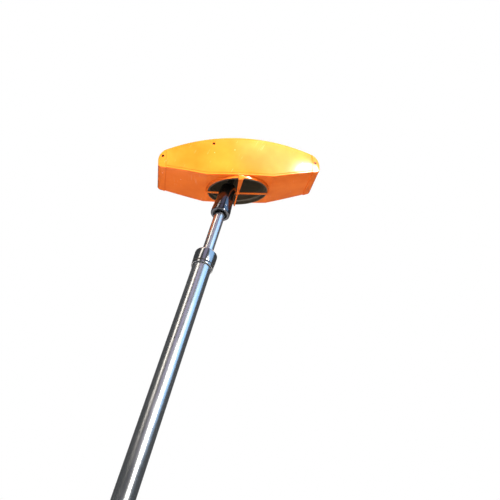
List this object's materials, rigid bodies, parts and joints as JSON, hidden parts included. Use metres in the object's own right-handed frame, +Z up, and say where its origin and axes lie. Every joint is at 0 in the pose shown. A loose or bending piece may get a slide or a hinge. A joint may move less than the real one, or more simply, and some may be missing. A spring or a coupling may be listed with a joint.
{
  "type": "gnss receiver on a pole",
  "caption": "Lens-shaped orange satellite receiver head with a recessed round opening and flat cross in its belly, tilted on a slim telescoping pole with grip, level and foot.",
  "frame": {"origin": "centre of the foot pad's flat underside, on the pole's axis", "axes": "+Z up along the pole; the head's front face looks towards -Y; the head's long axis lies near X; the circular level is on +X"},
  "size_m": [0.2184, 0.1037, 0.8402],
  "materials": {
    "orange_enamel": "high gloss orange, fine scratches",
    "gloss_black": "polished black",
    "dark_chrome": "polished black chrome",
    "satin_black": "fine textured satin black",
    "chrome": "polished",
    "steel": "turned and brushed",
    "nylon": "moulded nylon",
    "rubber": "soft black rubber",
    "foam": "dense foam grip",
    "alloy": "milled",
    "board": "green solder mask",
    "ceramic": "fired ceramic",
    "brass": "plated brass sheet",
    "battery_wrap": "shrink wrap",
    "lens": "clear tinted lens",
    "vial_fluid": "tinted spirit",
    "vial_glass": "clear"
  },
  "bodies": {
    "lower_pole": {"lower_tube": "chrome", "tube_plug": "nylon", "foot_ferrule": "gloss_black", "foot_pad": "rubber", "grip_sleeve": "foam", "level_bracket": "satin_black", "level_fluid": "vial_fluid", "level_window": "vial_glass", "split_collet": "nylon"},
    "lock_ring": {"lock_ring": "dark_chrome"},
    "upper_pole": {"upper_tube": "chrome", "swivel_plug": "steel", "guide_bush": "nylon"},
    "tilt_collar": {"tilt_collar": "dark_chrome", "swivel_bush": "nylon", "tilt_neck": "gloss_black"},
    "head": {"antenna_ground": "brass", "battery_cell_inner": "battery_wrap", "battery_cell_outer": "battery_wrap", "battery_holder": "satin_black", "belly_cover": "orange_enamel", "board_rail_inner": "nylon", "board_rail_outer": "nylon", "bulkhead_left": "alloy", "bulkhead_right": "alloy", "clevis_bracket": "satin_black", "clevis_screw_left": "steel", "clevis_screw_right": "steel", "data_port": "steel", "end_cap_left": "orange_enamel", "end_cap_right": "orange_enamel", "friction_disc_left": "nylon", "friction_disc_right": "nylon", "front_panel": "orange_enamel", "front_screw_1": "steel", "front_screw_2": "steel", "front_screw_3": "steel", "gasket_front": "rubber", "gasket_rear": "rubber", "main_board": "board", "patch_antenna": "ceramic", "port_contacts": "nylon", "port_hinge_pin": "steel", "power_switch": "nylon", "radio_module": "brass", "rear_panel": "orange_enamel", "rear_screw_1": "steel", "rear_screw_2": "steel", "rear_screw_3": "steel", "rear_screw_4": "steel", "recess_cup": "gloss_black", "rim_cross": "orange_enamel", "shield_can": "alloy", "status_lens": "lens", "tilt_pin": "steel", "top_shell": "orange_enamel"},
    "power_button": {"power_button": "satin_black"},
    "port_cover": {"port_cover": "rubber"}
  },
  "joints": [
    {"name": "pole_extension", "type": "slide", "parent": "lower_pole", "child": "upper_pole", "axis": [0, 0, 1], "range_m": [-0.05, 0.33]},
    {"name": "lock_ring_twist", "type": "hinge", "parent": "lower_pole", "child": "lock_ring", "pos_m": [0, 0, 0.62], "axis": [0, 0, 1], "range_deg": [0, 120]},
    {"name": "head_swivel", "type": "hinge", "parent": "upper_pole", "child": "tilt_collar", "pos_m": [0, 0, 0.72], "axis": [0, 0, 1], "continuous": true},
    {"name": "head_tilt", "type": "hinge", "parent": "tilt_collar", "child": "head", "pos_m": [0, 0, 0.8], "axis": [0.7361, -0.6769, 0], "range_deg": [-1, 7]},
    {"name": "power_button_press", "type": "slide", "parent": "head", "child": "power_button", "axis": [0.1422, -0.9518, -0.2716], "range_m": [0, 0.0012], "stiffness_N_per_m": 800},
    {"name": "port_cover_hinge", "type": "hinge", "parent": "head", "child": "port_cover", "pos_m": [0.05673, 0.04112, 0.82757], "axis": [0.9593, -0.1383, 0.2461], "range_deg": [0, 110]}
  ]
}
